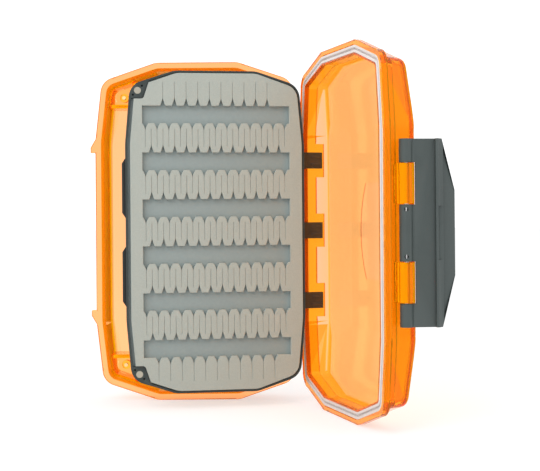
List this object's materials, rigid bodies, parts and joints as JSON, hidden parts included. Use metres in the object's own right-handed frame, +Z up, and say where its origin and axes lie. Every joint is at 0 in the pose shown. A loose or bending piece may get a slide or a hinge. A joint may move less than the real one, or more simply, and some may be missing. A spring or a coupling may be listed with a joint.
{
  "type": "fly box",
  "caption": "Clear hinged fly box standing open, with a swing leaf of slit foam, a sealed lid and a long latch.",
  "frame": {"origin": "middle of the base's lower end, on the parting plane, where the box stands", "axes": "+X from the latch side of the base to its hinge side, +Y from the parting plane into the base, +Z up along the hinge line"},
  "size_m": [0.1624, 0.1196, 0.165],
  "materials": {
    "clear_orange": "gloss",
    "seal_white": "matte",
    "dark_grey": "satin",
    "panel_grey": "matte",
    "foam_grey": "matte",
    "steel": "polished"
  },
  "bodies": {
    "base": {"base_shell": "clear_orange", "base_magnet_top": "steel", "base_magnet_bottom": "steel", "hinge_pin_top": "steel", "hinge_pin_middle": "steel", "hinge_pin_bottom": "steel"},
    "lid": {"lid_shell": "clear_orange", "lid_gasket": "seal_white", "leaf_bracket_top": "dark_grey", "leaf_bracket_middle": "dark_grey", "leaf_bracket_bottom": "dark_grey"},
    "leaf": {"leaf_frame": "dark_grey", "leaf_panel": "panel_grey", "leaf_foam_front": "foam_grey", "leaf_foam_back": "foam_grey", "leaf_magnet_top": "steel", "leaf_magnet_bottom": "steel", "leaf_pin_top": "steel", "leaf_pin_middle": "steel", "leaf_pin_bottom": "steel"},
    "latch": {"latch": "dark_grey", "latch_pin_upper": "steel", "latch_pin_lower": "steel"}
  },
  "joints": [
    {"name": "lid_hinge", "type": "hinge", "parent": "base", "child": "lid", "pos_m": [0.05085, -0.0015, 0], "axis": [0, 0, 1], "range_deg": [-108.7, 71.3]},
    {"name": "leaf_swing", "type": "hinge", "parent": "lid", "child": "leaf", "pos_m": [0.04934, -0.0131, 0], "axis": [0, 0, 1], "range_deg": [-66.5, 101]},
    {"name": "latch_pivot", "type": "hinge", "parent": "lid", "child": "latch", "pos_m": [0.0902, -0.09624, 0], "axis": [0, 0, 1], "range_deg": [-166, 10]}
  ],
  "couplings": [
    {"joint": "leaf_swing", "follows": "lid_hinge", "ratio": -0.92824}
  ]
}
